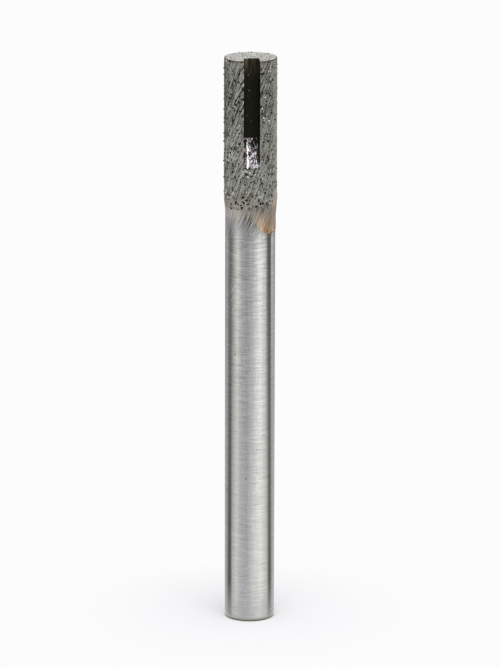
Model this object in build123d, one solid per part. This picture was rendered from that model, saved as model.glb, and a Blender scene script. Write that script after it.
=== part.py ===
"""Straight diamond router bit for stone, standing on the flat end of its shank.

Sizes are in millimetres. The origin is the centre of the shank's foot, +Z runs up the axis
to the cutting tip, and the coolant slot opens towards -Y.
"""
import os

from build123d import *

# Shank: round steel rod, held in the collet.
SHANK_DIAMETER = 8.0
SHANK_LENGTH = 66.6
FOOT_CHAMFER = 0.15

# Bond layer: copper-rich metal without diamond, which joins the head to the shank's end.
BOND_THICKNESS = 1.4

# Head: pressed and sintered metal with diamond grit all through it.
HEAD_DIAMETER = 8.5
HEAD_LENGTH = 24.0
RIM_CHAMFER = 0.08

# Ground shoulder: one cone from the shank's size to the head's, across the bond layer.
SHOULDER_LENGTH = 3.1

# Coolant slot: open at the tip, with a sloped run-out at its lower end.
SLOT_WIDTH = 2.6
SLOT_DEPTH = 3.1
SLOT_LENGTH = 17.2
RUN_OUT_LENGTH = 4.1
RUN_OUT_BLEND = 1.5
SLOT_CORNER_RADIUS = 0.3

# How far the slot's cutting body stands out of the head, past the surfaces that it opens.
CUTTER_OVERRUN = 1.0

SHANK_RADIUS = SHANK_DIAMETER / 2
HEAD_RADIUS = HEAD_DIAMETER / 2
HEAD_BASE = SHANK_LENGTH + BOND_THICKNESS
TIP = HEAD_BASE + HEAD_LENGTH
SHOULDER_TOP = SHANK_LENGTH + SHOULDER_LENGTH


def shoulder_radius(height):
    """Radius of the ground shoulder at a height between the shank's end and the full head."""
    climb = (height - SHANK_LENGTH) / SHOULDER_LENGTH
    return SHANK_RADIUS + climb * (HEAD_RADIUS - SHANK_RADIUS)


def turned(*outline):
    """A turned solid: the outline's (radius, height) points, closed along the axis."""
    lowest, highest = outline[0][1], outline[-1][1]
    profile = Polyline((0, lowest), *outline, (0, highest), close=True)
    return revolve(make_face(Plane.XZ * profile), Axis.Z)


def make_shank():
    """Plain round shank with a small chamfer round its foot."""
    return turned(
        (SHANK_RADIUS - FOOT_CHAMFER, 0),
        (SHANK_RADIUS, FOOT_CHAMFER),
        (SHANK_RADIUS, SHANK_LENGTH),
    )


def make_bond_layer():
    """Disc between shank and head, its edge ground to the shoulder's cone."""
    return turned(
        (SHANK_RADIUS, SHANK_LENGTH),
        (shoulder_radius(HEAD_BASE), HEAD_BASE),
    )


def make_slot_cutter():
    """Body that clears the slot: flat floor, blended into a slope that rises to the surface."""
    floor_y = SLOT_DEPTH - HEAD_RADIUS
    outside_y = -HEAD_RADIUS - CUTTER_OVERRUN
    slot_end = TIP - SLOT_LENGTH
    fall = RUN_OUT_LENGTH / SLOT_DEPTH
    foot_of_floor = (floor_y, slot_end + RUN_OUT_LENGTH)
    outline = Polyline(
        (floor_y, TIP + CUTTER_OVERRUN),
        foot_of_floor,
        (outside_y, slot_end - fall * CUTTER_OVERRUN),
        (outside_y, TIP + CUTTER_OVERRUN),
        close=True,
    )
    face = make_face(outline)
    blend_corner = face.vertices().sort_by_distance(Vector(*foot_of_floor))[0]
    face = fillet(blend_corner, RUN_OUT_BLEND)
    body = extrude(Plane.YZ * face, SLOT_WIDTH / 2, both=True)
    floor_corners = [
        edge
        for side in body.faces().filter_by(Axis.X)
        for edge in side.edges()
        if outside_y < edge.center().Y and edge.center().Z < TIP
    ]
    return fillet(floor_corners, SLOT_CORNER_RADIUS)


def make_diamond_head():
    """Round head on its tapered shoulder, with the coolant slot cut down one side."""
    blank = turned(
        (shoulder_radius(HEAD_BASE), HEAD_BASE),
        (HEAD_RADIUS, SHOULDER_TOP),
        (HEAD_RADIUS, TIP - RIM_CHAMFER),
        (HEAD_RADIUS - RIM_CHAMFER, TIP),
    )
    return blank - make_slot_cutter()


def main():
    os.makedirs("parts", exist_ok=True)
    pieces = {
        "shank": make_shank(),
        "bond_layer": make_bond_layer(),
        "diamond_head": make_diamond_head(),
    }
    for name, piece in pieces.items():
        export_step(piece, f"parts/{name}.step")


main()
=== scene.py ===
"""Looks of a straight diamond router bit for stone that stands on the end of its steel shank."""

import math
import random

import bmesh
import bpy
from mathutils import Matrix, Vector, kdtree, noise


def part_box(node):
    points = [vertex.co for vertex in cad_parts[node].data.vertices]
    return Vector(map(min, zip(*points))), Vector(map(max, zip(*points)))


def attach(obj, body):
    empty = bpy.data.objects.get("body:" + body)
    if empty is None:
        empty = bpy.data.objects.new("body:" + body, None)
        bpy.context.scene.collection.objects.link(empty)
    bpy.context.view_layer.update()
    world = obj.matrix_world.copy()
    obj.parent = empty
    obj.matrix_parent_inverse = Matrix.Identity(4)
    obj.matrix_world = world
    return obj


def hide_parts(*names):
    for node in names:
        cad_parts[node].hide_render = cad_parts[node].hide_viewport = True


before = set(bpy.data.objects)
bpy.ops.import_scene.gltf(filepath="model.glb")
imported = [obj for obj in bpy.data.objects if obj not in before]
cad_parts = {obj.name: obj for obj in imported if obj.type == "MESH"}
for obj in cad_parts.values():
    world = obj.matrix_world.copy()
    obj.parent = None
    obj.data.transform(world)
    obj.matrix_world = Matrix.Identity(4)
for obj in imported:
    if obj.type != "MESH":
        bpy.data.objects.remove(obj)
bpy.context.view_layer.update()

MM = 0.001

# Sizes of the construction, read from the frame.
SHANK_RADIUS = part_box("shank")[1].x
JOINT_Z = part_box("shank")[1].z
HEAD_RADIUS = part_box("diamond_head")[1].x
HEAD_BASE_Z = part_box("diamond_head")[0].z
TIP_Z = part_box("diamond_head")[1].z

# Sizes of the construction that its boxes don't tell.
SHOULDER_TOP_Z = JOINT_Z + 3.1 * MM
RIM_CHAMFER = 0.08 * MM
FOOT_CHAMFER = 0.15 * MM

# Coolant slot, as it is cut in the head, the height where its dark scale and painted shade start, and how
# far the body that cuts it reaches past the head.
SLOT_HALF_WIDTH = 1.3 * MM
SLOT_FLOOR_Y = 3.1 * MM - HEAD_RADIUS
SLOT_END_Z = TIP_Z - 17.2 * MM
RUN_OUT_LENGTH = 4.1 * MM
RUN_OUT_BLEND = 1.5 * MM
SLOT_CORNER_RADIUS = 0.3 * MM
SLOT_DARK_Z = SLOT_END_Z + 0.7 * MM
CUTTER_OVERRUN = 1.0 * MM

# Spacing of the points that carry the head's relief, and of those on its two thin skins.
RELIEF_CELL = 0.095 * MM
RUN_OUT_CELL = 0.045 * MM
COPPER_CELL = 0.08 * MM

# How deep a skin's hidden rim goes under the surface that it lies on.
SKIN_SINK = 0.12 * MM

# Points this close to each other or to a surface touch it.
TOUCHING = 0.01 * MM

# Edges that turn more than this stay sharp.
CREASE = math.radians(30)

# Dressing marks on the head: their lean from upright, and that of the finest, width, length and depth.
MARK_LEAN = math.radians(23)
FINE_MARK_LEAN = math.radians(25)
MARK_WIDTH = 0.25 * MM
MARK_LENGTH = 2.6 * MM
MARK_RELIEF = 0.03 * MM

# Grain of the sintered metal, the slow waves of its wear, and how much is worn away all over.
GRAIN_PITCH = 0.3 * MM
GRAIN_RELIEF = 0.014 * MM
WAVE_PITCH = 1.4 * MM
WAVE_RELIEF = 0.02 * MM
WORN_AWAY = 0.04 * MM

# The relief grows over this height above the joint, and the tip is grained from this height up.
RELIEF_FADE = 0.5 * MM
TIP_GRAIN_Z = TIP_Z - 0.1 * MM

# Pits that lost grains left. Each is stretched up or round, so its points are looked for past its radius,
# and some have a smaller twin beside them.
PIT_COUNT = 410
PIT_RADIUS = (0.11 * MM, 0.21 * MM)
PIT_DEPTH = 0.15 * MM
PIT_STRETCH = (0.75, 1.35)
PIT_SEARCH = 1.4
PIT_SPACING = 0.6 * MM
LARGE_PIT_DEPTH = 0.9 * PIT_DEPTH
TWIN_PIT_SHARE = 0.2
TWIN_PIT_GAP = 0.42 * MM
TWIN_PIT_SIZE = 0.8
TWIN_PIT_DEPTH = 0.7 * PIT_DEPTH

# Grains that still stand out: cubes with cut corners, sized before they are scaled to a grain's radius.
GRAIN_COUNT = 640
GRAIN_Z = (HEAD_BASE_Z + 0.3 * MM, TIP_Z - 0.1 * MM)
GRAIN_RADIUS = (0.11 * MM, 0.18 * MM)
GRAIN_STRETCH = (0.75, 1.05)
GRAIN_PROUD = (-0.02 * MM, 0.07 * MM)
CRYSTAL_SIZE = 1.4
CRYSTAL_CUT = 0.45
CLEAN_SHARE = 0.1
CLEAN_LOW_Z = HEAD_BASE_Z + 2.4 * MM
SLOT_GRAIN_SIZE = 0.65
CHIP_GRAIN_SINK = 0.1 * MM

# Grains in the tip's face: how far they keep from the slot, in radians, and the part of its area they take.
END_GRAIN_COUNT = 40
END_GRAIN_SINK = 0.08 * MM
END_GRAIN_CLEAR = 0.5
END_GRAIN_AREA = (0.25, 0.94)

# Seeds of the random draws.
PIT_SEED = 47
TWIN_PIT_SEED = 11
PIT_STRETCH_SEED = 12
GRAIN_SEED = 8
CRYSTAL_SEED = 23

# Grains on the rear of the tip's rim, in degrees from the slot.
RIM_GRAINS = (-158, -178, 175, 135)

# Grains that stand out along the head's left outline: millimetres down from the tip.
OUTLINE_GRAINS = (1.7, 2.8, 4.6, 6.0, 6.7, 8.4, 10.5, 12.2, 13.5, 16.7, 19.3, 21.7)
OUTLINE_ANGLE = math.radians(-92)
OUTLINE_SPREAD = 0.05
OUTLINE_RADIUS = 0.21 * MM
OUTLINE_PROUD = 0.09 * MM

# Clean grains that show in the slot's floor, and chips below its run-out: millimetres across, and down
# from the tip.
SLOT_GRAINS = ((-0.46, 2.65), (-0.3, 5.15), (-0.46, 6.05), (-0.55, 9.15), (0.02, 10.05))
CHIPS_BELOW = ((-0.64, 18.5), (-0.9, 17.6), (-0.35, 17.8))

# Largest pits, in the head's lowest part: across from the slot's middle, height over the head's base, and
# radius, in millimetres.
LARGE_PITS = (
    (-3.32, 0.8, 0.2), (-2.56, 1.2, 0.23), (-2.25, 1.0, 0.16), (-1.64, 0.45, 0.22), (-1.75, 0.85, 0.16),
    (-3.54, 2.2, 0.2), (0.79, 2.5, 0.22), (1.44, 1.15, 0.22), (1.85, 1.1, 0.23), (0.72, 0.7, 0.22),
    (-0.23, 0.0, 0.2), (2.43, -0.5, 0.16), (2.17, 2.8, 0.2), (3.34, 2.1, 0.22),
)

# Wear of the slot's mouth and the drawn streaks down its walls.
MOUTH_WIDTH = 0.14 * MM
CHIP_PITCH = 0.28 * MM
CHIP_DEPTH = 0.1 * MM
BARE_CHIPS_Z = (TIP_Z - 7.5 * MM, TIP_Z - 2.2 * MM)
SLOT_STREAK = 0.3 * MM
SLOT_RELIEF = 0.012 * MM

# Metal smeared over the run-out: its top, the sheet that it is shaped from, its wrinkles, the one ridge
# down it, which the material paints as a white highlight, and the hollow beside that, painted black as
# shade.
RUN_OUT_TOP_Z = SLOT_END_Z + RUN_OUT_LENGTH + 0.35 * MM
RUN_OUT_SHEET_Z = (SLOT_END_Z - 1.0 * MM, RUN_OUT_TOP_Z + 0.2 * MM)
RUN_OUT_PROUD = 0.06 * MM
RUN_OUT_RIGHT_X = 1.12 * MM
RUN_OUT_THICKNESS = 0.04 * MM
RUN_OUT_BARE_LEFT = 3 * MM
WRINKLE_PITCH = 0.4 * MM
WRINKLE_RELIEF = 0.1 * MM
RIDGE_X = -0.62 * MM
RIDGE_SWAY = 0.22 * MM
RIDGE_SLOW_PITCH = 0.7 * MM
RIDGE_QUICK_PITCH = 0.2 * MM
RIDGE_WIDTH = 0.15 * MM
RIDGE_RELIEF = 0.14 * MM
RIDGE_DROP = 0.3 * MM
HOLLOW_PLACE = (0.5 * MM, SLOT_END_Z + 3.3 * MM)
HOLLOW_REACH = (0.55 * MM, 0.9 * MM)

# How steeply it thins towards its edges, how far each of them strays, and over what distance.
RUN_OUT_EDGE_SLOPE = 0.6
LOWER_STRAY, LOWER_STRAY_PITCH = 0.35 * MM, 0.35 * MM
UPPER_STRAY, UPPER_STRAY_PITCH = 0.12 * MM, 0.25 * MM
RIGHT_STRAY, RIGHT_STRAY_PITCH = 0.05 * MM, 0.4 * MM

# Copper that ran down over the joint's right side. Its lower edge falls steeply from its tip, then gently,
# runs level and climbs again. Its upper edge is level, climbs, and falls again at the back. Lengths along
# the joint are angles in radians, and slopes are heights for each radian.
COPPER_START = math.radians(1)
COPPER_END = math.radians(128)
COPPER_TIP_Z = JOINT_Z + 0.3 * MM
COPPER_SLANT = 7.6 * MM
COPPER_CORNER = 0.28
COPPER_GENTLE_SLANT = 1.6 * MM
COPPER_LEVEL = 0.5
COPPER_CLIMB_START = 1.35
COPPER_CLIMB = 5 * MM
COPPER_LOW_Z = JOINT_Z - 2.95 * MM
COPPER_HIGH_Z = JOINT_Z + 0.12 * MM
COPPER_RISE_START = 0.72
COPPER_RISE = 6.0 * MM
COPPER_FALL = 4.4 * MM
COPPER_THICKNESS = 0.06 * MM
COPPER_EDGE_SLOPE = 0.5

# The sheet that it is shaped from reaches past its edges. Its rim goes deeper than the other skin's, because
# there are pits under it.
COPPER_SHEET_Z = (COPPER_LOW_Z - 0.6 * MM, COPPER_HIGH_Z + 5 * MM)
COPPER_SHEET_TURN = (COPPER_START - 0.1, COPPER_END + 0.2)
COPPER_SINK = 1.7 * SKIN_SINK
COPPER_BACK = 2.2 * SKIN_SINK

# Runs along its lower edge, long and short: length and width. Then how far its other edges stray, and the
# leaning marks that its upper edge follows.
LONG_RUN, LONG_RUN_WIDTH = 1.0 * MM, 0.5 * MM
SHORT_RUN, SHORT_RUN_WIDTH = 0.6 * MM, 0.18 * MM
COPPER_STRAY = 0.6 * MM
COPPER_MARK_WIDTH = 0.3 * MM
COPPER_MARK_LENGTH = 2.0 * MM

# Where the dressing wheel slipped and scratched the left of the shank.
SLIPS_LOW_Z = JOINT_Z - 16.5 * MM
SLIPS_HIGH_Z = JOINT_Z - 9.5 * MM
SLIP_LEAN = math.radians(27)

# Camera: long lens, looking down a little, turned a few degrees to the left of the slot.
CAMERA_DISTANCE = 756 * MM
CAMERA_HEIGHT = 238 * MM
CAMERA_AIM = Vector((0, 0, 47 * MM))
CAMERA_TURN = math.radians(-3.2)
CAMERA_ROLL = math.radians(0.14)
CAMERA_LENS = 263

# Studio.
FLOOR_SIZE = 6.0
SHADOW_REACH = 6 * MM
LIGHT_LEVEL = 0.79
LAMP_PLACE = Vector((0.04, -0.35, 0.78))
LAMP_AIM = Vector((0, 0, 0.05))
LAMP_SIZE = 0.6
LAMP_ENERGY = 3.3
RING_RADIUS = 5.2 * MM
RING_HEIGHT = 68 * MM
RING_STRENGTH = 1.28

# Cards that the shank mirrors near the joint and near its foot: degrees round it from the slot, and grey.
UPPER_CARDS = (
    (-165, "b4b4b6"), (-120, "8c8c8e"), (-90, "aaaaac"), (-72, "74746e"), (-61, "8a8a86"), (-41, "e2e2e0"),
    (-26, "b2b2b4"), (-11, "a4a4a8"), (4, "bebec0"), (26, "ffffff"), (45, "cccccc"), (52, "74746e"),
    (60, "5a5a54"), (67, "74746e"), (74, "ccccd0"), (90, "9e9ea2"), (140, "b0b0b2"),
)
LOWER_CARDS = (
    (-165, "b4b4b6"), (-94, "b0b0b2"), (-74, "50504a"), (-66, "6c6c66"), (-59, "c4c4c2"), (-43, "dededc"),
    (-31, "c4c4c6"), (-11, "babac0"), (13, "ececea"), (30, "fafaf8"), (54, "cececc"), (60, "80807a"),
    (68, "5c5c56"), (74, "70706c"), (82, "bcbcc0"), (140, "b4b4b6"),
)


def srgb(code):
    """Linear colour of a six-digit sRGB hex code."""
    channels = (int(code[i:i + 2], 16) / 255 for i in (0, 2, 4))
    return (*(c / 12.92 if c <= 0.04045 else ((c + 0.055) / 1.055) ** 2.4 for c in channels), 1)


def add(tree, kind, links=None, stops=None, **settings):
    """Adds a shader node, such as a Mix. Settings are its properties. Links give its inputs a value, a hex
    colour or a source: a socket, or a node for that node's first output in use. Stops are a ramp's places
    and hex colours."""
    made = tree.nodes.new("ShaderNode" + kind)
    for key, value in settings.items():
        setattr(made, key, value)
    for key, value in (links or {}).items():
        if isinstance(value, bpy.types.Node):
            value = next(socket for socket in value.outputs if socket.enabled)
        if isinstance(value, bpy.types.NodeSocket):
            tree.links.new(value, made.inputs[key])
        else:
            made.inputs[key].default_value = srgb(value) if isinstance(value, str) else value
    if stops:
        while len(made.color_ramp.elements) < len(stops):
            made.color_ramp.elements.new(0.5)
        for element, (place, colour) in zip(made.color_ramp.elements, stops):
            element.position = place
            element.color = srgb(colour)
    return made


def stain(tree, colour, tint, source, start=0.0, full=1.0, strength=1.0):
    """The colour with a tint over it: none at the source's start, and the given strength where it's full."""
    amount = add(tree, "MapRange", {
        "Value": source, "From Min": start, "From Max": full, "To Max": strength})
    return add(tree, "Mix", {0: amount, 6: colour, 7: tint}, data_type="RGBA")


def new_material(name):
    """Empty node material and its tree."""
    material = bpy.data.materials.new(name)
    material.use_nodes = True
    material.node_tree.nodes.clear()
    return material, material.node_tree


def make_camera():
    """Camera at the photograph's viewing angle."""
    data = bpy.data.cameras.new("camera")
    data.lens = CAMERA_LENS
    data.clip_end = 20
    camera = bpy.data.objects.new("camera", data)
    bpy.context.scene.collection.objects.link(camera)
    camera.location = (
        CAMERA_DISTANCE * math.sin(CAMERA_TURN) + CAMERA_AIM.x,
        -CAMERA_DISTANCE * math.cos(CAMERA_TURN),
        CAMERA_HEIGHT,
    )
    aim = CAMERA_AIM - camera.location
    look = aim.to_track_quat("-Z", "Y").to_matrix().to_4x4()
    camera.matrix_world = Matrix.Translation(camera.location) @ look @ Matrix.Rotation(CAMERA_ROLL, 4, "Z")
    bpy.context.scene.camera = camera


def seen_rays(tree):
    """1 for the rays that show a surface to the camera, straight, mirrored or through glass."""
    path = add(tree, "LightPath").outputs
    seen = add(tree, "Math", {0: path["Is Camera Ray"], 1: path["Is Glossy Ray"]}, operation="MAXIMUM")
    return add(tree, "Math", {0: seen, 1: path["Is Transmission Ray"]}, operation="MAXIMUM")


def make_world():
    """White surroundings, and a plainer white for the light they give."""
    world = bpy.data.worlds.new("studio")
    bpy.context.scene.world = world
    world.use_nodes = True
    tree = world.node_tree
    tree.nodes.clear()
    strength = add(tree, "MapRange", {"Value": seen_rays(tree), "To Min": LIGHT_LEVEL})
    background = add(tree, "Background", {"Color": "fcfcfd", "Strength": strength})
    add(tree, "OutputWorld", {"Surface": background})


def make_floor():
    """White floor: it keeps the soft shadow round the foot, and further out it shows as plain white."""
    material, tree = new_material("white_paper_sweep")
    matte = add(tree, "BsdfDiffuse", {"Color": "ececee"})
    glow = add(tree, "Emission", {"Color": "fcfcfd", "Strength": 1.0})
    place = add(tree, "TexCoord").outputs["Object"]
    away = add(tree, "VectorMath", {0: place}, operation="LENGTH")
    plain = add(tree, "MapRange", {
        "Value": away, "From Min": SHADOW_REACH, "From Max": 5 * SHADOW_REACH, "To Min": 0.25})
    seen = add(tree, "Math", {0: seen_rays(tree), 1: plain}, operation="MULTIPLY")
    both = add(tree, "MixShader", {0: seen, 1: matte, 2: glow})
    add(tree, "OutputMaterial", {"Surface": both})
    bpy.ops.mesh.primitive_plane_add(size=FLOOR_SIZE)
    floor = bpy.context.object
    floor.name = "floor"
    floor.data.materials.append(material)


def make_reflector():
    """Ring of grey and white cards round the shank, which only its polished metal mirrors."""
    material, tree = new_material("reflector_cards")
    place = add(tree, "TexCoord").outputs["Object"]
    parts = add(tree, "SeparateXYZ", {0: place}).outputs
    front = add(tree, "Math", {0: parts["Y"], 1: -1.0}, operation="MULTIPLY")
    angle = add(tree, "Math", {0: parts["X"], 1: front}, operation="ARCTAN2")
    turn = add(tree, "MapRange", {"Value": angle, "From Min": -math.pi, "From Max": math.pi})
    upper, lower = (
        add(tree, "ValToRGB", {"Fac": turn},
            stops=[((degrees + 180) / 360, grey) for degrees, grey in cards])
        for cards in (UPPER_CARDS, LOWER_CARDS))

    # The cards change from foot to joint, and blur towards both ends.
    both = stain(tree, lower, upper, parts["Z"], 5 * MM, 60 * MM)
    both = stain(tree, both, "c2c2c4", parts["Z"], 6 * MM, 0, 0.62)
    both = stain(tree, both, "c2c2c4", parts["Z"], JOINT_Z - 2.5 * MM, JOINT_Z, 0.8)
    glow = add(tree, "Emission", {"Color": both, "Strength": RING_STRENGTH})
    add(tree, "OutputMaterial", {"Surface": glow})
    bpy.ops.mesh.primitive_cylinder_add(
        vertices=180, radius=RING_RADIUS, depth=RING_HEIGHT, end_fill_type="NOTHING",
        location=(0, 0, RING_HEIGHT / 2))
    ring = bpy.context.object
    ring.name = "reflector"
    ring.data.transform(ring.matrix_world)
    ring.matrix_world = Matrix.Identity(4)
    ring.data.materials.append(material)
    ring.visible_camera = ring.visible_diffuse = ring.visible_shadow = ring.visible_transmission = False


def make_lamp():
    """One broad soft box above, in front and to the right."""
    data = bpy.data.lights.new("soft_box", "AREA")
    data.shape = "SQUARE"
    data.size = LAMP_SIZE
    data.energy = LAMP_ENERGY
    lamp = bpy.data.objects.new("soft_box", data)
    bpy.context.scene.collection.objects.link(lamp)
    lamp.location = LAMP_PLACE
    lamp.rotation_euler = (LAMP_AIM - LAMP_PLACE).to_track_quat("-Z", "Y").to_euler()


def new_piece(name, bm, *materials):
    """Object in the part's own frame, holding the finished mesh and riding on the one body."""
    mesh = bpy.data.meshes.new(name)
    bm.to_mesh(mesh)
    bm.free()
    for material in materials:
        mesh.materials.append(material)
    piece = bpy.data.objects.new(name, mesh)
    bpy.context.scene.collection.objects.link(piece)
    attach(piece, "root")
    return piece


def only(kind, items):
    """Those of a mesh operator's items that are of one kind, such as its points."""
    return [item for item in items if isinstance(item, kind)]


def uneven(x, y, z):
    """Smooth noise at a place, from about -1 to 1, that changes over a distance of about 1."""
    return noise.noise(Vector((x, y, z)))


def split_edges(bm, edges, cell):
    """Cuts each edge into lengths of about one cell."""
    for edge in edges:
        cuts = round(edge.calc_length() / cell) - 1
        if cuts > 0:
            bmesh.ops.subdivide_edges(bm, edges=[edge], cuts=cuts)


def side_radius(z):
    """Radius of the head's round side at a height: the ground shoulder, then the full size."""
    slope = (HEAD_RADIUS - SHANK_RADIUS) / (SHOULDER_TOP_Z - JOINT_Z)
    return min(HEAD_RADIUS, SHANK_RADIUS + slope * max(0.0, z - JOINT_Z))


def on_side(angle, z, proud=0.0):
    """Point on the round side: angle 0 faces the slot's mouth and grows towards +X."""
    radius = side_radius(z) + proud
    return Vector((radius * math.sin(angle), -radius * math.cos(angle), z))


def turned(*outline):
    """A turned solid whose side is fine enough to carry the relief; the outline runs from axis to axis."""
    bm = bmesh.new()
    corners = [bm.verts.new((radius, 0, height)) for radius, height in outline]
    edges = [bm.edges.new(ends) for ends in zip(corners, corners[1:])]
    split_edges(bm, edges[1:], RELIEF_CELL)
    bmesh.ops.spin(bm, geom=bm.verts[:] + bm.edges[:], cent=(0, 0, 0), axis=(0, 0, 1), dvec=(0, 0, 0),
                   angle=math.tau, steps=round(math.tau * HEAD_RADIUS / RELIEF_CELL), use_merge=True)
    bmesh.ops.remove_doubles(bm, verts=bm.verts, dist=TOUCHING)
    bmesh.ops.recalc_face_normals(bm, faces=bm.faces)
    return bm


def head_blank():
    """The head before its slot is cut: the rest of the ground shoulder, then straight up to the tip."""
    return turned(
        (0, HEAD_BASE_Z), (side_radius(HEAD_BASE_Z), HEAD_BASE_Z), (HEAD_RADIUS, SHOULDER_TOP_Z),
        (HEAD_RADIUS, TIP_Z - RIM_CHAMFER), (HEAD_RADIUS - RIM_CHAMFER, TIP_Z), (0, TIP_Z),
    )


def slot_floor_y(height):
    """How far in the slot's floor lies at a height: flat, then an arc, then the sloped run-out."""
    slope = (SLOT_FLOOR_Y + HEAD_RADIUS) / RUN_OUT_LENGTH
    bend_z = SLOT_END_Z + RUN_OUT_LENGTH
    half_turn = math.atan(slope) / 2
    tangent = RUN_OUT_BLEND * math.tan(half_turn)
    if height > bend_z + tangent:
        return SLOT_FLOOR_Y
    if height > bend_z - tangent * math.cos(2 * half_turn):
        fall = bend_z + tangent - height
        return SLOT_FLOOR_Y - RUN_OUT_BLEND + math.sqrt(RUN_OUT_BLEND ** 2 - fall ** 2)
    return SLOT_FLOOR_Y - slope * (bend_z - height)


def slot_cutter():
    """Closed body of the slot: its level outline, carried down and drawn outwards over the run-out."""
    outside = -HEAD_RADIUS - CUTTER_OVERRUN
    top = TIP_Z + CUTTER_OVERRUN
    bm = bmesh.new()
    corners = [bm.verts.new((x, y, top)) for x, y in (
        (-SLOT_HALF_WIDTH, outside), (-SLOT_HALF_WIDTH, SLOT_FLOOR_Y),
        (SLOT_HALF_WIDTH, SLOT_FLOOR_Y), (SLOT_HALF_WIDTH, outside))]
    bm.faces.new(corners)
    bmesh.ops.bevel(bm, geom=corners[1:3], offset=SLOT_CORNER_RADIUS, affect="VERTICES", segments=4,
                    profile=0.5, material=-1)
    split_edges(bm, [edge for edge in bm.edges if edge.calc_length() > 2 * RELIEF_CELL], RELIEF_CELL)
    loop = bm.edges[:]
    height, depth = top, SLOT_FLOOR_Y - outside
    while slot_floor_y(height) > outside + CUTTER_OVERRUN / 2:
        height -= RELIEF_CELL
        made = bmesh.ops.extrude_edge_only(bm, edges=loop)["geom"]
        loop = only(bmesh.types.BMEdge, made)
        drawn = (slot_floor_y(height) - outside) / depth
        depth *= drawn
        for vert in only(bmesh.types.BMVert, made):
            vert.co = (vert.co.x, outside + drawn * (vert.co.y - outside), height)
    bmesh.ops.contextual_create(bm, geom=loop)
    bmesh.ops.recalc_face_normals(bm, faces=bm.faces)
    return bm


def cut_away(blank, cutter):
    """The blank without what the cutter covers, as one closed mesh."""
    pair = []
    for name, bm in (("blank", blank), ("cutter", cutter)):
        mesh = bpy.data.meshes.new(name)
        bm.to_mesh(mesh)
        bm.free()
        pair.append(bpy.data.objects.new(name, mesh))
        bpy.context.scene.collection.objects.link(pair[-1])
    cut = pair[0].modifiers.new("slot", "BOOLEAN")
    cut.operation, cut.solver, cut.object = "DIFFERENCE", "MANIFOLD", pair[1]
    evaluated = pair[0].evaluated_get(bpy.context.evaluated_depsgraph_get())
    bm = bmesh.new()
    bm.from_mesh(evaluated.to_mesh())
    for piece in pair:
        bpy.data.objects.remove(piece)
    return bm


SIDE, END_FACE, SLOT = range(3)


def surface_kind(face):
    """Which of the head's surfaces a face of the clean shape belongs to."""
    centre = face.calc_center_median()
    if face.normal.z > 0.95:
        return END_FACE
    inside = math.hypot(centre.x, centre.y) < side_radius(centre.z) - TOUCHING
    in_slot = abs(centre.x) < 1.01 * SLOT_HALF_WIDTH and centre.y < 0
    if inside and in_slot and centre.z > SLOT_DARK_Z:
        return SLOT
    return SIDE


def unwound(point, lean):
    """The point turned back about the axis, so that marks that lean as they climb run straight up."""
    return Matrix.Rotation(-math.tan(lean) * point.z / HEAD_RADIUS, 3, "Z") @ point


def dressing_mark(point):
    """Height of the dressing marks at a point, from about -1 to 1."""
    straight = unwound(point, MARK_LEAN)
    straight.z *= MARK_WIDTH / MARK_LENGTH
    return 1.6 * noise.noise(straight / MARK_WIDTH)


def side_seeds(count, seed, low_z, high_z, crowding=1.0, clear=0.0, apart=0.0, taken=()):
    """Seeded places on the round side: crowded towards the lower end, apart from each other and from the
    places taken before, and clear of the slot's mouth."""
    rng = random.Random(seed)
    seeds = []
    used = list(taken)
    while len(seeds) < count:
        angle = rng.uniform(-math.pi, math.pi)
        z = low_z + (high_z - low_z) * rng.random() ** crowding
        in_mouth = abs(HEAD_RADIUS * math.sin(angle)) < SLOT_HALF_WIDTH + clear and abs(angle) < math.pi / 2
        free = all(
            math.hypot(HEAD_RADIUS * (angle - around), z - height) >= apart for around, height in used)
        if free and not (in_mouth and z > SLOT_END_Z - clear):
            seeds.append((angle, z, rng.random(), rng.random()))
            used.append((angle, z))
    return seeds


def pit_places():
    """Pits on the side: place, radius and depth. The large ones are placed, the rest seeded."""
    rng = random.Random(TWIN_PIT_SEED)
    large = [(math.asin(across * MM / HEAD_RADIUS), HEAD_BASE_Z + height * MM)
             for across, height, _ in LARGE_PITS]
    for (angle, z), (_, _, radius) in zip(large, LARGE_PITS):
        yield angle, z, radius * MM, LARGE_PIT_DEPTH
    seeds = side_seeds(
        PIT_COUNT, PIT_SEED, HEAD_BASE_Z, TIP_Z, crowding=1.15, apart=PIT_SPACING, taken=large)
    for angle, z, size, depth in seeds:
        radius = PIT_RADIUS[0] + size * (PIT_RADIUS[1] - PIT_RADIUS[0])
        yield angle, z, radius, PIT_DEPTH * (0.6 + 0.6 * depth)
        if rng.random() < TWIN_PIT_SHARE:
            away = rng.uniform(0, math.tau)
            twin_angle = angle + TWIN_PIT_GAP * math.cos(away) / HEAD_RADIUS
            twin_z = z + TWIN_PIT_GAP * math.sin(away)
            yield twin_angle, twin_z, TWIN_PIT_SIZE * radius, TWIN_PIT_DEPTH


def wear(bm):
    """Moves a clean shape's points to their worn places; "pit" and "chip" tell the material where."""
    pit_layer = bm.verts.layers.float.new("pit")
    chip_layer = bm.verts.layers.float.new("chip")
    verts = bm.verts[:]
    tree = kdtree.KDTree(len(verts))
    for index, vert in enumerate(verts):
        tree.insert(vert.co, index)
    tree.balance()
    moves = [wear_at(vert, chip_layer) for vert in verts]
    rng = random.Random(PIT_STRETCH_SEED)
    for angle, z, radius, depth in pit_places():
        stretch = rng.uniform(*PIT_STRETCH)
        inward = Vector((-math.sin(angle), math.cos(angle), 0))
        centre = on_side(angle, z)
        for found, index, _ in tree.find_range(centre, radius * PIT_SEARCH):
            gap = found - centre
            reach = math.hypot(math.hypot(gap.x, gap.y) * stretch, gap.z / stretch) / radius
            if reach < 1:
                bowl = (1 - reach * reach) ** 0.8
                moves[index] += inward * depth * bowl
                verts[index][pit_layer] = max(verts[index][pit_layer], bowl)
    for vert, move in zip(verts, moves):
        vert.co += move


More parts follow.
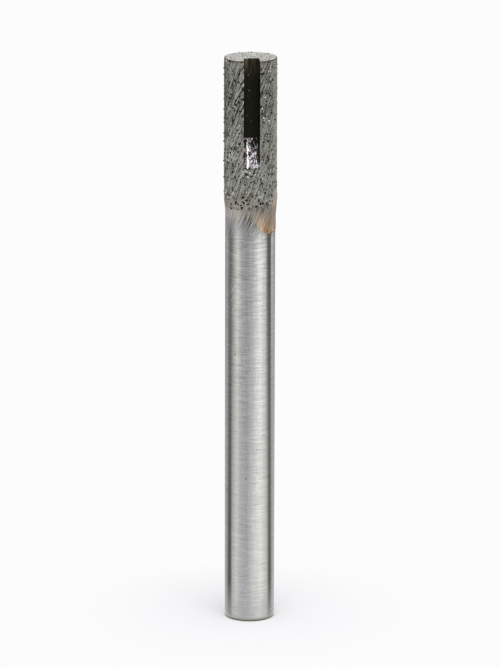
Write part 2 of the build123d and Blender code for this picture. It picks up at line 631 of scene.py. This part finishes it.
def wear_at(vert, chip_layer):
    """How far a point of the clean shape is worn or stands out, without the pits."""
    point = vert.co
    outward = Vector((point.x, point.y, 0)).normalized()
    move = Vector()
    if math.hypot(point.x, point.y) > side_radius(point.z) - 2 * TOUCHING:
        fade = min(1.0, (point.z - JOINT_Z) / RELIEF_FADE)
        grain = noise.noise(point / GRAIN_PITCH)
        wave = noise.noise(point / WAVE_PITCH) - 0.4
        mark = dressing_mark(point) - 0.5
        move = outward * fade * (MARK_RELIEF * mark + GRAIN_RELIEF * grain + WAVE_RELIEF * wave - WORN_AWAY)
        at_mouth = abs(abs(point.x) - SLOT_HALF_WIDTH) < MOUTH_WIDTH and point.y < 0
        if at_mouth and point.z > SLOT_END_Z:
            chip = max(0.0, noise.noise(point / CHIP_PITCH) + 0.1)
            bare_left = point.x < 0 and BARE_CHIPS_Z[0] < point.z < BARE_CHIPS_Z[1]
            bare_right = point.x > 0 and point.z > BARE_CHIPS_Z[1]
            vert[chip_layer] = chip if bare_left or bare_right else 0.0
            move -= outward * chip * CHIP_DEPTH
    elif HEAD_BASE_Z + TOUCHING < point.z < TIP_Z - TOUCHING:
        move = vert.normal * SLOT_RELIEF * noise.noise(Vector((point.x, point.y, point.z / 5)) / SLOT_STREAK)
    if point.z > TIP_GRAIN_Z:
        move.z += GRAIN_RELIEF * noise.noise(point / GRAIN_PITCH)
    return move


def smooth_but_creased(bm):
    """Smooth shading, apart from the edges that are sharp in the clean shape."""
    bm.normal_update()
    for face in bm.faces:
        face.smooth = True
    for edge in bm.edges:
        edge.smooth = edge.calc_face_angle(0) < CREASE


def make_joint(material):
    """The bond layer under the head, its side ground and worn with the head's."""
    bm = turned(
        (0, JOINT_Z), (SHANK_RADIUS, JOINT_Z), (side_radius(HEAD_BASE_Z), HEAD_BASE_Z), (0, HEAD_BASE_Z))
    smooth_but_creased(bm)
    wear(bm)
    joint = new_piece("ground_joint", bm, material)
    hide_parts("bond_layer")


def make_head(side, end_face, slot):
    """The sintered head: turned, slotted and then worn, with a material for each kind of surface."""
    bm = cut_away(head_blank(), slot_cutter())
    smooth_but_creased(bm)
    for face in bm.faces:
        face.material_index = surface_kind(face)
    wear(bm)
    head = new_piece("sintered_head", bm, side, end_face, slot)
    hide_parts("diamond_head")


def add_grain(bm, crystal, place, rng, clean):
    """Copies the crystal to a place, randomly turned and stretched; a clean one gets the second material."""
    copied = bmesh.ops.duplicate(bm, geom=crystal)["geom"]
    turn = Matrix.Rotation(rng.uniform(0, math.tau), 4, Vector([rng.gauss(0, 1) for _ in range(3)]))
    stretch = Matrix.Diagonal([rng.uniform(*GRAIN_STRETCH) for _ in range(3)] + [1])
    bmesh.ops.transform(bm, matrix=place @ turn @ stretch, verts=only(bmesh.types.BMVert, copied))
    for face in only(bmesh.types.BMFace, copied):
        face.material_index = int(clean)


def make_grains(coated, bare):
    """Grains that stand out of the head: cubes with their corners cut, mostly still coated with metal."""
    rng = random.Random(CRYSTAL_SEED)
    bm = bmesh.new()
    corners = bmesh.ops.create_cube(bm, size=CRYSTAL_SIZE)["verts"]
    bmesh.ops.bevel(bm, geom=corners, offset=CRYSTAL_CUT, affect="VERTICES", segments=1, profile=0.5,
                    material=-1)
    crystal = bm.verts[:] + bm.edges[:] + bm.faces[:]

    def put(spot, radius, clean):
        """Adds one grain, of a radius, round a spot."""
        add_grain(bm, crystal, Matrix.Translation(spot) @ Matrix.Scale(radius, 4), rng, clean)

    small, large = GRAIN_RADIUS
    for angle, z, size, lift in side_seeds(GRAIN_COUNT, GRAIN_SEED, *GRAIN_Z, crowding=1.2, clear=0.1 * MM):
        radius = small + size * (large - small)
        proud = GRAIN_PROUD[0] + lift * (GRAIN_PROUD[1] - GRAIN_PROUD[0])
        put(on_side(angle, z, proud - radius), radius, rng.random() < CLEAN_SHARE and z > CLEAN_LOW_Z)
    for across, down in CHIPS_BELOW:
        put(on_side(math.asin(across * MM / HEAD_RADIUS), TIP_Z - down * MM, -CHIP_GRAIN_SINK), large, True)
    for across, down in SLOT_GRAINS:
        put(Vector((across * MM, SLOT_FLOOR_Y, TIP_Z - down * MM)), SLOT_GRAIN_SIZE * small, True)
    for _ in range(END_GRAIN_COUNT):
        around = rng.uniform(END_GRAIN_CLEAR, math.tau - END_GRAIN_CLEAR)
        out = HEAD_RADIUS * math.sqrt(rng.uniform(*END_GRAIN_AREA))
        spot = Vector((out * math.sin(around), -out * math.cos(around), TIP_Z - END_GRAIN_SINK))
        put(spot, small, rng.random() < CLEAN_SHARE)
    for angle in RIM_GRAINS:
        put(on_side(math.radians(angle), TIP_Z, -CHIP_GRAIN_SINK), small, False)
    for down in OUTLINE_GRAINS:
        angle = OUTLINE_ANGLE + rng.uniform(-OUTLINE_SPREAD, OUTLINE_SPREAD)
        put(on_side(angle, TIP_Z - down * MM, OUTLINE_PROUD - OUTLINE_RADIUS), OUTLINE_RADIUS, False)
    bmesh.ops.delete(bm, geom=only(bmesh.types.BMVert, crystal), context="VERTS")
    grains = new_piece("diamond_grains", bm, coated, bare)


def sheet(width, height, cell):
    """Level sheet from -1 to 1 at height 1, closed by a second face at 0: a skin before it is shaped."""
    bm = bmesh.new()
    bmesh.ops.create_grid(bm, x_segments=round(width / cell), y_segments=round(height / cell), size=1)
    for face in bm.faces:
        face.smooth = True
    raised = bmesh.ops.extrude_face_region(bm, geom=bm.faces[:])["geom"]
    bmesh.ops.translate(bm, vec=(0, 0, 1), verts=only(bmesh.types.BMVert, raised))
    return bm


def run_out_lift(x, z):
    """How far the smeared metal stands above the run-out, and below zero where it has none."""
    sway = RIDGE_SWAY * (uneven(0, 2, z / RIDGE_SLOW_PITCH) + 0.6 * uneven(4, 0, z / RIDGE_QUICK_PITCH))
    ridge = math.exp(-((x - RIDGE_X + sway) / RIDGE_WIDTH) ** 2)
    flow = Vector((x, 0.45 * z, 0)) / WRINKLE_PITCH
    wrinkle = 0.8 * noise.noise(flow) + 0.6 * noise.noise(2.3 * flow + Vector((7, 3, 0))) + 0.15
    wrinkle *= 1 - 0.8 * ridge
    across, up = (x - HOLLOW_PLACE[0]) / HOLLOW_REACH[0], (z - HOLLOW_PLACE[1]) / HOLLOW_REACH[1]
    hollow = math.exp(-across ** 2 - up ** 2)
    low_down = max(0.0, 1 - (z - SLOT_END_Z) / RUN_OUT_BARE_LEFT)
    bare_left = 1.4 * max(0.0, (RIDGE_X - x) / SLOT_HALF_WIDTH) * low_down
    lift = RUN_OUT_THICKNESS + WRINKLE_RELIEF * (wrinkle - 0.6 * hollow - bare_left) + RIDGE_RELIEF * ridge
    lower_edge = SLOT_END_Z + 0.1 * MM - RIDGE_DROP * ridge
    lower_edge += LOWER_STRAY * uneven(x / LOWER_STRAY_PITCH, 5, 0)
    upper_edge = RUN_OUT_TOP_Z + UPPER_STRAY * uneven(x / UPPER_STRAY_PITCH, 9, 0)
    right_edge = RUN_OUT_RIGHT_X + RIGHT_STRAY * uneven(3, 0, z / RIGHT_STRAY_PITCH)
    return min(lift, RUN_OUT_EDGE_SLOPE * min(z - lower_edge, upper_edge - z, right_edge - x))


def make_run_out_skin(material):
    """Bright metal smeared over the run-out; "lift" tells the material its ridges, where it paints
    highlight, from its hollows, where it paints shade.
    """
    low_z, high_z = RUN_OUT_SHEET_Z
    half_width = SLOT_HALF_WIDTH - TOUCHING
    bm = sheet(2 * half_width, high_z - low_z, RUN_OUT_CELL)
    lift_layer = bm.verts.layers.float.new("lift")
    for vert in bm.verts:
        x, z = vert.co.x * half_width, low_z + (vert.co.y + 1) / 2 * (high_z - low_z)
        ground = max(slot_floor_y(z), -math.sqrt(HEAD_RADIUS ** 2 - x ** 2))
        lift = run_out_lift(x, z)
        vert[lift_layer] = lift / WRINKLE_RELIEF
        depth = max(lift, -SKIN_SINK) if vert.co.z > 0.5 else -2 * SKIN_SINK
        vert.co = (x, max(ground - depth, -HEAD_RADIUS - RUN_OUT_PROUD), z)
    bmesh.ops.recalc_face_normals(bm, faces=bm.faces)
    skin = new_piece("run_out_skin", bm, material)


def copper_lift(angle, z):
    """Thickness of the copper at a place, and below zero where it has run no further."""
    arc = angle * SHANK_RADIUS
    along = angle - COPPER_START
    past_climb = max(0.0, along - COPPER_CLIMB_START)
    fall = COPPER_SLANT * min(along, COPPER_CORNER)
    fall += COPPER_GENTLE_SLANT * min(COPPER_LEVEL, max(0.0, along - COPPER_CORNER))
    runs = LONG_RUN * max(0.0, uneven(arc / LONG_RUN_WIDTH, 1, 0))
    runs += SHORT_RUN * uneven(arc / SHORT_RUN_WIDTH, 2, 0)
    lower_edge = COPPER_TIP_Z - fall + runs + COPPER_CLIMB * past_climb
    rise = COPPER_RISE * max(0.0, min(along, COPPER_CLIMB_START) - COPPER_RISE_START)
    rise -= COPPER_FALL * past_climb
    leaning = unwound(on_side(angle, z), MARK_LEAN)
    leaning.z *= COPPER_MARK_WIDTH / COPPER_MARK_LENGTH
    ragged = noise.noise(leaning / COPPER_MARK_WIDTH)
    upper_edge = COPPER_HIGH_Z + rise + COPPER_STRAY * ragged
    end = (COPPER_END - angle) * SHANK_RADIUS + COPPER_STRAY * uneven(3, 0, z / MM)
    inside = min(z - lower_edge, 0.2 * (upper_edge - z), end)
    return min(COPPER_THICKNESS * (1 + 0.3 * ragged), COPPER_EDGE_SLOPE * inside)


def make_copper_run(material):
    """Thin copper film on the right side of the joint, with a ragged lower edge on the shank."""
    low_z, high_z = COPPER_SHEET_Z
    start, end = COPPER_SHEET_TURN
    bm = sheet((end - start) * SHANK_RADIUS, high_z - low_z, COPPER_CELL)
    for vert in bm.verts:
        angle = start + (vert.co.x + 1) / 2 * (end - start)
        z = low_z + (vert.co.y + 1) / 2 * (high_z - low_z)
        lift = max(copper_lift(angle, z), -COPPER_SINK) if vert.co.z > 0.5 else -COPPER_BACK
        vert.co = on_side(angle, z, lift)
    bmesh.ops.recalc_face_normals(bm, faces=bm.faces)
    film = new_piece("copper_run", bm, material)


def in_mm(tree):
    """Position on the part in millimetres."""
    place = add(tree, "TexCoord").outputs["Object"]
    return add(tree, "VectorMath", {0: place, "Scale": 1 / MM}, operation="SCALE")


def stretched_noise(tree, place, size, shift=0.0, detail=2.0):
    """Noise of about 0.5 whose spots have the given size along X, Y and Z, in the place's own units."""
    mapped = add(tree, "Mapping", {
        "Vector": place, "Location": (shift, shift, shift), "Scale": [1 / side for side in size]})
    return add(tree, "TexNoise", {"Vector": mapped, "Scale": 1.0, "Detail": detail, "Roughness": 0.55})


def leaning_marks(tree, lean, width, length, shift=0.0, detail=2.0):
    """Marks on the round side that lean as they climb: uneven, about 0.5, with sizes in millimetres."""
    place = in_mm(tree)
    height = add(tree, "SeparateXYZ", {0: place}).outputs["Z"]
    turn = add(tree, "Math", {0: height, 1: -math.tan(lean) * MM / HEAD_RADIUS}, operation="MULTIPLY")
    straight = add(tree, "VectorRotate", {"Vector": place, "Angle": turn}, rotation_type="Z_AXIS")
    return stretched_noise(tree, straight, (width, width, length), shift, detail)


def height_band(tree, low, high, most=1.0, marks=0.0, sway=0.0, **settings):
    """0 at the first height, the most at the second, and level beyond them. Marks, where given, move the
    band up and down within the sway, which is in millimetres."""
    height = add(tree, "SeparateXYZ", {0: in_mm(tree)}).outputs["Z"]
    swayed = add(tree, "Math", {0: marks, 1: sway, 2: height}, operation="MULTIPLY_ADD")
    return add(tree, "MapRange", {
        "Value": swayed, "From Min": low / MM + sway / 2, "From Max": high / MM + sway / 2, "To Max": most},
        **settings)


def facing(tree, angle, narrow, wide, most=1.0):
    """The most where the round side faces an angle, within the narrow spread, and 0 past the wide one, all
    in degrees."""
    turn = math.radians(angle)
    toward = (math.sin(turn), -math.cos(turn), 0)
    lean = add(tree, "VectorMath", {0: in_mm(tree), 1: toward}, operation="DOT_PRODUCT")
    start, full = (SHANK_RADIUS / MM * math.cos(math.radians(spread)) for spread in (wide, narrow))
    return add(tree, "MapRange", {
        "Value": lean, "From Min": start, "From Max": full, "To Max": most}, interpolation_type="SMOOTHSTEP")


def dressing(tree):
    """The marks that the dressing wheel left: they run on from the head over the joint onto the shank. The
    grit's own scratches are finer than a pixel, so they are drawn 0.13 mm wide."""
    coarse = leaning_marks(tree, MARK_LEAN, 0.26, 3.6, detail=1.0)
    fine = leaning_marks(tree, FINE_MARK_LEAN, 0.13, 2.0, 7.3, detail=0.0)
    return add(tree, "Mix", {"Factor": 0.66, "A": coarse, "B": fine})


def scored_metal(tree, marks, spread=0.11):
    """Metal under the dressing marks: dark between the strokes, and burnished lighter on its left side."""
    low, high = 0.51 - spread, 0.51 + spread
    dark = stain(tree, "444340", "bab9b5", marks, low, high)
    light = stain(tree, "929296", "dadada", marks, low, high)
    return stain(tree, dark, light, facing(tree, -58, 20, 50))


def joint_tint(tree, marks, colour):
    """The colour, warmed round the joint where copper drew into both metals: pinkish, tan on the right."""
    low, high = JOINT_Z - 0.3 * MM, HEAD_BASE_Z + 0.9 * MM
    right = facing(tree, 84, 18, 52)
    side = add(tree, "Math", {0: facing(tree, -58, 20, 60), 1: right}, operation="MAXIMUM")
    amount = add(tree, "MapRange", {"Value": side, "To Min": 0.1, "To Max": 0.46})
    below = height_band(tree, high + 0.7 * MM, high - 0.7 * MM, amount, marks, 5.0)
    near = height_band(tree, low - 0.8 * MM, low + 0.8 * MM, below, marks, 5.0)
    return stain(tree, colour, stain(tree, "c6b8a8", "b59a80", right), near)


def speckled(tree, colour, pale, dark):
    """The colour with fine specks: pale broken grit whose brightness is partly painted glint, and pores
    filled with painted shade, drawn about 0.2 mm wide so that they show.
    """
    spots = add(tree, "TexVoronoi", {"Vector": in_mm(tree), "Scale": 2.4}).outputs
    kind = add(tree, "SeparateColor", {0: spots["Color"]})
    # Pale specks: broken grit, partly painted glint. Near-black specks: pores with painted shade in them.
    for side, threshold, size, tint in (
            ("GREATER_THAN", 1 - pale, 0.29, "fffaf2"), ("LESS_THAN", dark, 0.3, "12120e")):
        chosen = add(tree, "Math", {0: kind, 1: threshold}, operation=side)
        colour = stain(tree, colour, tint, spots["Distance"], size, 0.6 * size, chosen)
    return colour


def material_of(surface):
    """Material named for a surface: a function that adds its nodes and returns the shader's inputs."""
    material, tree = new_material(surface.__name__)
    shader = add(tree, "BsdfPrincipled", surface(tree))
    add(tree, "OutputMaterial", {"Surface": shader})
    return material


def grinding_lines(tree, place):
    """The fine lines of the grinding round the bar, and the same with broad bands, drags along the bar and
    grain in them. Real lines are finer than a pixel, so they are drawn 0.14 mm high."""
    fine = stretched_noise(tree, place, (2.2, 2.2, 0.14), detail=1.0)
    lines = fine
    for share, size, shift, detail in (
            (0.14, (6, 6, 0.45), 5.0, 2.0),
            (0.22, (0.22, 0.22, 7), 9.0, 2.0),
            (0.34, (0.25, 0.25, 0.17), 12.0, 1.0)):
        other = stretched_noise(tree, place, size, shift, detail)
        lines = add(tree, "Mix", {"Factor": share, "A": lines, "B": other})
    return fine, lines


def line_tones(tree, place, lines):
    """Dark and pale grinding lines: they stand out more in patches, towards the joint and in front."""
    patches = stretched_noise(tree, place, (2.5, 2.5, 2.0), 21.0)
    depth = add(tree, "Math", {0: height_band(tree, 0, JOINT_Z), 1: 0.5, 2: patches},
                operation="MULTIPLY_ADD")
    reach = add(tree, "MapRange", {
        "Value": depth, "From Min": 0.4, "From Max": 1.1, "To Min": 0.29, "To Max": 0.08})
    keener = add(tree, "MapRange", {"Value": facing(tree, -2, 8, 26), "To Min": 1.0, "To Max": 0.75})
    reach = add(tree, "Math", {0: reach, 1: keener}, operation="MULTIPLY")
    low = add(tree, "Math", {0: 0.5, 1: reach}, operation="SUBTRACT")
    high = add(tree, "Math", {0: 0.5, 1: reach}, operation="ADD")
    return stain(tree, "b4b4b1", "dededb", lines, low, high)


def single_marks(tree, place, colour):
    """The colour with hairlines, turning rings under the joint, and scratches where the wheel slipped."""
    hairs = stretched_noise(tree, place, (3.2, 3.2, 0.1), 31.0, 1.0)
    colour = stain(tree, colour, "f6f6f4", hairs, 0.66, 0.7, 0.42)
    colour = stain(tree, colour, "70706c", hairs, 0.34, 0.3, 0.42)
    rings = stretched_noise(tree, place, (2.4, 2.4, 0.065), 41.0, 0.0)
    near_rings = height_band(tree, JOINT_Z - 2.6 * MM, JOINT_Z - 3 * MM, 0.45)
    near_rings = height_band(tree, JOINT_Z - 6 * MM, JOINT_Z - 4.4 * MM, near_rings)
    colour = stain(tree, colour, "ffffff", rings, 0.6, 0.68, near_rings)
    colour = stain(tree, colour, "5c5c5a", rings, 0.38, 0.32, near_rings)
    slips = leaning_marks(tree, SLIP_LEAN, 0.13, 1.6, 51.0, detail=0.0)
    slipped = facing(tree, -50, 4, 11, 0.7)
    slipped = height_band(tree, SLIPS_LOW_Z, SLIPS_LOW_Z + MM, slipped)
    slipped = height_band(tree, SLIPS_HIGH_Z, SLIPS_HIGH_Z - MM, slipped)
    return stain(tree, colour, "f8f8f6", slips, 0.54, 0.62, slipped)


def ground_steel(tree):
    """Ground steel: fine lines round the bar stretch its reflections along it and streak them across."""
    place = in_mm(tree)
    fine, lines = grinding_lines(tree, place)
    colour = single_marks(tree, place, line_tones(tree, place, lines))

    # Where the dressing wheel also touched the shank's top, down to a ragged edge.
    marks = dressing(tree)
    dressed = height_band(tree, JOINT_Z - 3.5 * MM, JOINT_Z - 1.3 * MM, 1.0, marks, 9.0,
                          interpolation_type="SMOOTHSTEP")
    colour = stain(tree, colour, scored_metal(tree, marks, spread=0.17), dressed)
    colour = joint_tint(tree, marks, speckled(tree, colour, pale=0.01, dark=0.003))

    # Painted shade round the foot, and a darker painted shade line on the chamfer under it.
    colour = stain(tree, colour, "9c988f", height_band(tree, 4.2 * FOOT_CHAMFER, 1.9 * FOOT_CHAMFER))
    colour = stain(tree, colour, "544b42", height_band(tree, 1.6 * FOOT_CHAMFER, 1.1 * FOOT_CHAMFER))

    # Smoothest along the pale lines, and matt and deeply scored where it is dressed.
    rough = add(tree, "MapRange", {
        "Value": lines, "From Min": 0.36, "From Max": 0.64, "To Min": 0.2, "To Max": 0.13})
    rough = add(tree, "Mix", {"Factor": dressed, "A": rough, "B": 0.5})
    sway = stretched_noise(tree, place, (1.1, 1.1, 0.9), 15.0, 3.0)
    grooves = add(tree, "Mix", {"Factor": 0.75, "A": fine, "B": sway})
    grooves = add(tree, "Mix", {"Factor": dressed, "A": grooves, "B": marks})
    relief = add(tree, "MapRange", {"Value": dressed, "To Min": 0.17, "To Max": 0.9})
    bump = add(tree, "Bump", {"Height": grooves, "Strength": relief, "Distance": 0.02 * MM})
    round_bar = add(tree, "Tangent", direction_type="RADIAL", axis="Z")
    return {"Base Color": colour, "Metallic": 1.0, "Roughness": rough, "Anisotropic": 0.6,
            "Anisotropic Rotation": 0.25, "Tangent": round_bar, "Normal": bump}


def sintered_bond(tree):
    """Sintered metal bond: matt grey powder metal, dragged into leaning marks when it is dressed."""
    marks = dressing(tree)
    place = in_mm(tree)
    grit = stretched_noise(tree, place, (0.15, 0.15, 0.18), 1.0, 0.0)
    both = add(tree, "Mix", {"Factor": 0.1, "A": marks, "B": grit})

    # Strong marks above, paler metal between them below, and calmer marks on the right.
    tone = add(tree, "MapRange", {"Value": both, "From Min": 0.4, "From Max": 0.6})
    tone = add(tree, "Mix", {"Factor": facing(tree, 55, 25, 55, 0.22), "A": tone, "B": 0.5})
    climb = height_band(tree, SLOT_END_Z, SLOT_END_Z + 10 * MM)
    lower = stain(tree, "585851", "acaca5", tone)
    upper = stain(tree, "292921", "a1a199", tone)
    colour = stain(tree, lower, upper, climb)

    # Dark and pale crumbs, a painted highlight along the right edge, painted shade along the left one, and a
    # breath of rust.
    colour = stain(tree, colour, "16150f", grit, 0.33, 0.27, 0.9)
    colour = stain(tree, colour, "e2dccc", grit, 0.76, 0.82, 0.9)
    # Painted highlight down the right edge of the head.
    colour = stain(tree, colour, "c4c4be", facing(tree, 84, 6, 30, 0.3))
    # Painted shade down the left edge of the head, stronger higher up.
    painted_left_shade = add(tree, "MapRange", {"Value": climb, "To Min": 0.15, "To Max": 0.75})
    colour = stain(tree, colour, "24241d", facing(tree, -98, 11, 24, painted_left_shade))
    rust = stretched_noise(tree, place, (0.7, 0.7, 1.2), 17.0)
    colour = stain(tree, colour, "7d6c4c", rust, 0.52, 0.7, 0.22)
    colour = speckled(tree, joint_tint(tree, marks, colour), pale=0.045, dark=0.22)

    # Painted shade as a dark brown line round the tip's rim, bare chips along the slot's mouth, and painted
    # shade in the pits.
    colour = stain(tree, colour, "44392a", height_band(tree, TIP_Z - 0.2 * MM, TIP_Z - 0.1 * MM))
    chip = add(tree, "Attribute", attribute_name="chip").outputs["Fac"]
    colour = stain(tree, colour, "f2e4c6", chip, 0.22, 0.4)
    # Painted shade in the pits, darkest at their bottoms.
    pit = add(tree, "Attribute", attribute_name="pit").outputs["Fac"]
    colour = stain(tree, colour, "12110c", pit, 0.06, 0.34)
    bump = add(tree, "Bump", {"Height": both, "Strength": 0.8, "Distance": 0.04 * MM})
    return {"Base Color": colour, "Metallic": 0.85, "Roughness": 0.42, "Specular Tint": "ccccc8",
            "Normal": bump}


def copper_rich_joint(tree):
    """Copper-rich metal without grit under the head: ground to the same marks, a little smoother."""
    marks = dressing(tree)
    colour = joint_tint(tree, marks, scored_metal(tree, marks))
    # Painted shade in the pits, darkest at their bottoms.
    pit = add(tree, "Attribute", attribute_name="pit").outputs["Fac"]
    colour = stain(tree, colour, "1c1b16", pit, 0.1, 0.4)
    bump = add(tree, "Bump", {"Height": marks, "Strength": 0.7, "Distance": 0.03 * MM})
    return {"Base Color": colour, "Metallic": 0.9, "Roughness": 0.42, "Normal": bump}


def copper_film(tree):
    """Copper that melted out of the joint: dull tan, scored grey above, orange at its thin lower edge,
    streaked there with pale painted highlight.
    """
    marks = dressing(tree)
    tan = stain(tree, "9e8a75", "c6b29c", marks, 0.4, 0.6)
    scored = stain(tree, "6c675e", "a9a298", marks, 0.4, 0.6)
    runs = stretched_noise(tree, in_mm(tree), (0.5, 0.5, 3), 27.0, 1.0)
    # Orange of the thin copper, streaked with pale painted highlight.
    orange = stain(tree, "a67c58", "f0d4b4", runs, 0.38, 0.62)
    worn = height_band(tree, JOINT_Z - 0.6 * MM, JOINT_Z + 0.9 * MM, 0.5, marks, 3.0)
    tips = height_band(tree, COPPER_LOW_Z + 2 * MM, COPPER_LOW_Z + MM, 1.0, marks, 3.0)
    colour = stain(tree, stain(tree, tan, scored, worn), orange, tips)
    bump = add(tree, "Bump", {"Height": marks, "Strength": 0.25, "Distance": 0.03 * MM})
    return {"Base Color": colour, "Metallic": 0.9, "Roughness": 0.4, "Normal": bump}


def ground_end_face(tree):
    """The same metal ground flat on its end: lighter and finely speckled, with painted shade as a dark brown
    line round its rim.
    """
    place = in_mm(tree)
    speckle = stretched_noise(tree, place, (0.24, 0.3, 0.24), 2.0, 1.0)
    colour = stain(tree, "5c5b54", "cfcec7", speckle, 0.37, 0.58)
    colour = speckled(tree, colour, pale=0.14, dark=0.2)
    across = add(tree, "VectorMath", {0: place, 1: (1, 1, 0)}, operation="MULTIPLY")
    out = add(tree, "VectorMath", {0: across}, operation="LENGTH")
    edge = HEAD_RADIUS / MM
    # Painted shade: a dark brown line round the rim.
    colour = stain(tree, colour, "4a4234", out, edge - 0.26, edge - 0.18, 0.85)
    bump = add(tree, "Bump", {"Height": speckle, "Strength": 0.5, "Distance": 0.03 * MM})
    return {"Base Color": colour, "Metallic": 0.8, "Roughness": 0.42, "Normal": bump}


def scale_and_slot_shade(tree):
    """Scale from the furnace on the slot's walls, dull and near black, partly its own colour and partly
    painted shade of the deep slot, with brown streaks near the tip.
    """
    place = in_mm(tree)
    across = add(tree, "SeparateXYZ", {0: place}).outputs["X"]
    left = add(tree, "MapRange", {"Value": across, "From Min": 0.7, "From Max": -0.3, "To Min": 0.45})
    near_tip = height_band(tree, TIP_Z - 3 * MM, TIP_Z - 0.2 * MM, left)
    streaks = stretched_noise(tree, place, (0.35, 0.35, 4))
    # Near black: dark scale and painted shade of the slot together, a little lighter towards the left wall.
    colour = stain(tree, "090a05", "1c1c13", left)
    colour = stain(tree, colour, "69593f", streaks, 0.4, 0.65, near_tip)
    return {"Base Color": colour, "Metallic": 0.0, "Roughness": 0.65, "Specular IOR Level": 0.15}


def smeared_metal(tree):
    """Bond metal torn and smeared over the run-out: silver wrinkles with a painted white highlight on the
    highest, and painted black shade in the hollows between them.
    """
    place = in_mm(tree)
    speckle = stretched_noise(tree, place, (0.17, 0.2, 0.25), 3.0, 1.0)
    lift = add(tree, "Attribute", attribute_name="lift").outputs["Fac"]
    height = add(tree, "Math", {0: speckle, 1: 3.0, 2: lift}, operation="MULTIPLY_ADD")
    tints = stretched_noise(tree, place, (0.5, 0.5, 0.8), 11.0)
    silver = stain(tree, "8f8f97", "9a807c", tints, 0.48, 0.62)
    # Painted highlight: white on the highest wrinkles and the ridge.
    silver = stain(tree, silver, "fffdfa", height, 2.62, 2.88)
    # Painted shade: black in the low hollows.
    colour = stain(tree, "161616", silver, height, 1.83, 2.25)
    return {"Base Color": colour, "Metallic": 0.7, "Roughness": 0.35}


def diamond_grit(tree):
    """Synthetic diamond with its metal worn off: pale, flashing where a facet mirrors the light."""
    cloud = stretched_noise(tree, in_mm(tree), (0.1, 0.1, 0.1), 6.0, 1.0)
    colour = stain(tree, "c4beb0", "f2eee4", cloud)
    return {"Base Color": colour, "Metallic": 0.0, "Roughness": 0.15, "IOR": 2.42}


def metal_coated_grit(tree):
    """Diamond grain still under a skin of sintered metal: dark, dull and grainy."""
    cloud = stretched_noise(tree, in_mm(tree), (0.12, 0.12, 0.12), 8.0, 1.0)
    colour = stain(tree, "0c0b08", "3c3b35", cloud, 0.4, 0.65)
    return {"Base Color": colour, "Metallic": 0.0, "Roughness": 0.6, "Specular IOR Level": 0.1}


def set_material(piece, material):
    """Gives a CAD piece this one material."""
    piece.data.materials.clear()
    piece.data.materials.append(material)


bpy.context.scene.view_settings.view_transform = "Standard"
make_camera()
make_world()
make_floor()
make_reflector()
make_lamp()
set_material(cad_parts["shank"], material_of(ground_steel))
make_joint(material_of(copper_rich_joint))
make_head(material_of(sintered_bond), material_of(ground_end_face), material_of(scale_and_slot_shade))
make_grains(material_of(metal_coated_grit), material_of(diamond_grit))
make_run_out_skin(material_of(smeared_metal))
make_copper_run(material_of(copper_film))
